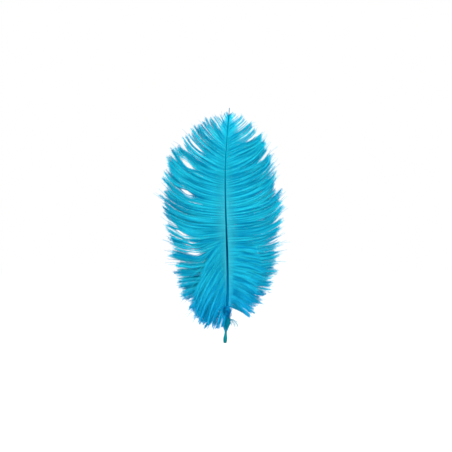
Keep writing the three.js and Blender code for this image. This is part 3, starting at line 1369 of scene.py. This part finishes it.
@dataclass(frozen=True)
class Lamp:
    """A square area light, in metres and watts."""

    name: str
    place: tuple[float, float, float]
    size: float
    power: float

    def build(self, aim: tuple[float, float, float]) -> None:
        """Adds the light, turned towards a point.

        Args:
            aim: the point.
        """
        data = bpy.data.lights.new(self.name, "AREA")
        data.energy, data.size = self.power, self.size
        light = bpy.data.objects.new(self.name, data)
        light.location = self.place
        toward = np.array(aim) - np.array(self.place)
        light.rotation_mode = "QUATERNION"
        light.rotation_quaternion = Vector(toward).to_track_quat("-Z", "Y")
        bpy.context.scene.collection.objects.link(light)


@dataclass
class Studio:
    """Pale floor, soft light and the camera.

    The camera looks level at aim, from so far that its view is view_width wide there.
    """

    view_width: float = 0.5745
    aim: tuple[float, float, float] = (0.0013, 0.0, 0.1487)
    lens: float = 100.0
    view_depth: tuple[float, float] = (0.05, 20.0)
    floor_drop: float = 0.02
    floor_size: float = 6.0
    floor_paint: Colour = (0.97, 0.97, 0.97)
    lamps: tuple[Lamp, ...] = (Lamp("key", (-0.6, -1.5, 1.2), 0.9, 22.5),
                               Lamp("fill", (1.1, -1.2, 0.6), 1.2, 25.0),
                               Lamp("side", (-1.5, -0.8, 0.1), 1.0, 9.0))

    def build(self) -> None:
        """Builds the stage, the lights and the camera."""
        self._floor()
        self._world()
        for lamp in self.lamps:
            lamp.build(self.aim)
        self._camera()

    def _floor(self) -> None:
        """Adds the floor."""
        half = self.floor_size / 2
        mesh = bpy.data.meshes.new("floor")
        corners = [(-half, -half, 0), (half, -half, 0), (half, half, 0), (-half, half, 0)]
        mesh.from_pydata(corners, [], [(0, 1, 2, 3)])
        floor = bpy.data.objects.new("floor", mesh)
        floor.location = (0.0, 0.0, -self.floor_drop)
        bpy.context.scene.collection.objects.link(floor)
        material = bpy.data.materials.new("floor_paint")
        NodeShop(material).finish({"Base Color": self.floor_paint, "Roughness": 1.0,
                                   "Specular IOR Level": 0.0})
        mesh.materials.append(material)

    def _world(self) -> None:
        """Adds the white surroundings."""
        world = bpy.data.worlds.new("studio")
        world.use_nodes = True
        background = world.node_tree.nodes["Background"]
        background.inputs["Color"].default_value = (*WHITE, 1.0)
        background.inputs["Strength"].default_value = 1.0
        bpy.context.scene.world = world
        bpy.context.scene.view_settings.view_transform = "Standard"

    def _camera(self) -> None:
        """Adds the camera, level and square to the plume's front."""
        data = bpy.data.cameras.new("camera")
        data.lens = self.lens
        camera = bpy.data.objects.new("camera", data)
        distance = self.view_width * data.lens / data.sensor_width
        camera.location = (self.aim[0], self.aim[1] - distance, self.aim[2])
        camera.rotation_euler = (math.pi / 2, 0.0, 0.0)
        data.clip_start, data.clip_end = self.view_depth
        bpy.context.scene.collection.objects.link(camera)
        bpy.context.scene.camera = camera


# ---- The plume ----


def row_of(prefix: str) -> list[str]:
    """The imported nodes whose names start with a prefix, in order."""
    return sorted(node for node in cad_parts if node.startswith(prefix))


WISPY = LockStyle(clump=0.7, points=0.7, fluff=0.35, scatter=1.5, strays=0.2)
SPRAY = LockStyle(clump=0.7, points=0.7, fluff=0.35, reach=0.9, scatter=1.5, seat=1.0,
                  strays=0.2)
STRANDS = LockStyle(clump=0.6, points=0.6, fluff=0.7, scatter=1.2)
SOLID = LockStyle(clump=0.15, points=0.15, spread=1.1, reach=0.99, strays=0.06)
LEFT_STYLES = {
    16: SPRAY,
    15: WISPY,
    14: LockStyle(clump=0.4, reach=1.06),
    13: STRANDS,
    12: STRANDS,
    11: LockStyle(clump=0.15, points=0.1, spread=1.15, reach=1.0, fluff=1.25, strays=0.05),
    10: LockStyle(clump=0.15, points=0.1, spread=1.15, reach=1.0, fluff=1.2, strays=0.05),
    9: SOLID,
    8: SOLID,
    7: LockStyle(lift=0.1),
    6: LockStyle(clump=0.4, scatter=1.3, lift=0.5),
    5: LockStyle(clump=0.4, scatter=1.3, lift=0.9, strays=0.15),
    4: LockStyle(clump=0.4, fluff=1.15, scatter=1.3, lift=1.2),
    3: LockStyle(fluff=1.15, lift=1.4),
    2: LockStyle(lift=1.2),
    1: LockStyle(lift=1.0),
}
RIGHT_STYLES = {
    16: SPRAY,
    15: WISPY,
    14: STRANDS,
    13: LockStyle(gather=0.3, drift=-0.6, slant=0.2),
    12: LockStyle(gather=0.4, drift=0.4),
    11: LockStyle(gather=0.4, drift=-0.2, slant=0.2, reach=0.98),
    10: LockStyle(slant=0.2, reach=0.97),
    9: LockStyle(gather=0.3, drift=0.4, reach=0.98),
    8: LockStyle(gather=0.4, drift=-0.2, reach=0.98),
    6: LockStyle(gather=0.2, strays=0.15),
    5: LockStyle(strays=0.2),
}
LEFT_PARTINGS = (
    Parting(14.4, 0.8, 0.2, 0.9 * MM),
    Parting(13.6, 0.7, 0.25, 1.2 * MM),
    Parting(12.5, 0.72, 0.22, 1.5 * MM),
    Parting(11.8, 0.92, 0.12, 1.6 * MM),
    Parting(11.12, 0.67, 0.14, 3.0 * MM, lean=0.9),
    Parting(10.9, 0.42, 0.12, 0.7 * MM),
    Parting(9.3, 0.57, 0.11, 2.4 * MM, lean=2.0),
    Parting(8.8, 0.4, 0.12, 0.6 * MM),
    Parting(6.1, 0.72, 0.26, 2.8 * MM, lean=3.0),
    Parting(5.4, 0.68, 0.18, 1.5 * MM, lean=3.0, reach=0.35),
    Parting(4.9, 0.58, 0.15, 1.7 * MM),
    Parting(3.45, 0.52, 0.1, 1.0 * MM),
)
RIGHT_PARTINGS = (
    Parting(14.4, 0.7, 0.25, 0.7 * MM),
    Parting(13.5, 0.8, 0.22, 0.9 * MM),
    Parting(11.5, 0.9, 0.18, 2.1 * MM),
    Parting(10.1, 0.97, 0.16, 1.8 * MM),
    Parting(8.8, 1.0, 0.14, 1.5 * MM),
    Parting(6.7, 0.97, 0.14, 1.7 * MM),
    Parting(5.4, 0.95, 0.18, 1.5 * MM),
)
LEFT_DOWN_STYLES = {
    1: LockStyle(points=0.7, spread=1.9, skew=-0.5, gather=0.3, drift=-0.6, reach=1.06,
                 fluff=0.8, scatter=1.3, seat=1.0, strays=0.3),
    2: LockStyle(clump=0.2, spread=1.4, gather=0.4, drift=-0.8, seat=1.0, strays=0.15),
    3: LockStyle(clump=0.2, spread=1.4, gather=0.4, drift=-0.9, seat=1.0, strays=0.1),
    4: LockStyle(clump=0.2, spread=1.4, gather=0.4, drift=-0.8, seat=1.0, strays=0.1),
    5: LockStyle(clump=0.2, spread=1.5, gather=0.3, drift=-0.5, seat=1.0, sink=2.0 * MM,
                 slant=-0.3, reach=0.97, scatter=1.5),
    6: LockStyle(clump=0.2, spread=1.8, skew=-0.4, scatter=2.2, seat=1.0, sink=4.0 * MM,
                 slant=-0.9, reach=0.75),
}
RIGHT_DOWN_STYLES = {
    4: LockStyle(clump=0.2, spread=1.5, scatter=1.6, seat=1.0, sink=3.0 * MM, slant=-0.4,
                 reach=0.9),
    3: LockStyle(clump=0.2, spread=1.3, scatter=1.2, seat=1.0, sink=1.0 * MM),
}
VANE_SEED = 20
DOWN_SEED = 30
DOWN_STYLE = LockStyle(clump=0.2, spread=1.3, scatter=1.2, seat=1.0, slant=-0.05)


def dress_inner_nodes() -> None:
    """Gives the pith and the pulp caps, which stay as packed, their finishes."""
    pith, cap = PITH.make(), CAP_HORN.make()
    for node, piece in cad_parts.items():
        if node.startswith("pulp_cap") or node == "shaft_pith":
            piece.data.materials.clear()
            piece.data.materials.append(pith if node == "shaft_pith" else cap)
            LOG.info("%s: finish %s", node, piece.data.materials[0].name)


def main() -> None:
    """Builds the studio and every piece of the plume, and reports them."""
    logging.basicConfig(level=logging.INFO, format="%(name)s %(message)s")
    Studio().build()
    Horn("quill", QUILL_HORN, girth=1.25).build()
    Horn("shaft_cortex", SHAFT_HORN, sides=16, wall=0.35 * MM, hollow_share=0.4,
         mouth=1.25 * MM, groove=0.2, least=0.45 * MM).build()
    dress_inner_nodes()
    shaft = ShaftLine("shaft_cortex")
    quill = ShaftLine("quill")
    MattedDown("base_mat", MAT_DYE, strands=90, combed=0.1, seed=11, swell=0.1, girth=1.2,
               ahead=4.5 * MM).build(shaft)
    MattedDown("quill_tuft", TUFT_DYE, strands=90, combed=0.9, seed=12, swell=0.1, girth=0.55,
               hairs=9).build(quill)
    vane, down = VANE_DYE.make(), DOWN_DYE.make()
    for side, styles, partings, down_styles in (
            (Side.LEFT, LEFT_STYLES, LEFT_PARTINGS, LEFT_DOWN_STYLES),
            (Side.RIGHT, RIGHT_STYLES, RIGHT_PARTINGS, RIGHT_DOWN_STYLES)):
        Vane(side, row_of(f"{side.word}_lock"), shaft, VANE_DYE, styles, partings,
             seed=VANE_SEED + side.value).build(vane)
        Vane(side, row_of(f"{side.word}_down"), shaft, DOWN_DYE, down_styles, usual=DOWN_STYLE,
             depth_spread=1.4 * MM, seed=DOWN_SEED + side.value).build(down)


if __name__ == "__main__":
    main()
